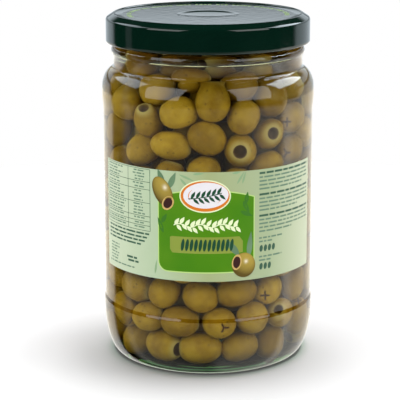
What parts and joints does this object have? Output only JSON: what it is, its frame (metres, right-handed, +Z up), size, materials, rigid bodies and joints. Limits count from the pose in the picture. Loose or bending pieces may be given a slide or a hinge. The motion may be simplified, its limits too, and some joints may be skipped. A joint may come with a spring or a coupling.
{
  "type": "jar of olives",
  "caption": "Round glass jar of pitted green olives in brine, with a printed paper label and a green pressed-steel twist-off lid.",
  "frame": {"origin": "centre of the foot ring's circle, at the level the jar stands on", "axes": "+Z up along the jar's axis, -Y towards the label's middle, +X to the right of someone facing the label"},
  "size_m": [0.118, 0.118, 0.1923],
  "materials": {
    "glass": "clear, faintly green moulded glass, smooth and glossy",
    "lid_lacquer": "glossy dark green lacquer on pressed steel",
    "label_paper": "smooth coated paper with a satin printed face",
    "brine": "clear, pale yellow-green salt water",
    "olive_flesh": "wet, waxy olive skin, semi-gloss"
  },
  "bodies": {
    "root": {"jar": "glass", "lid": "lid_lacquer", "label": "label_paper", "brine": "brine", "olives": "olive_flesh"}
  },
  "joints": []
}
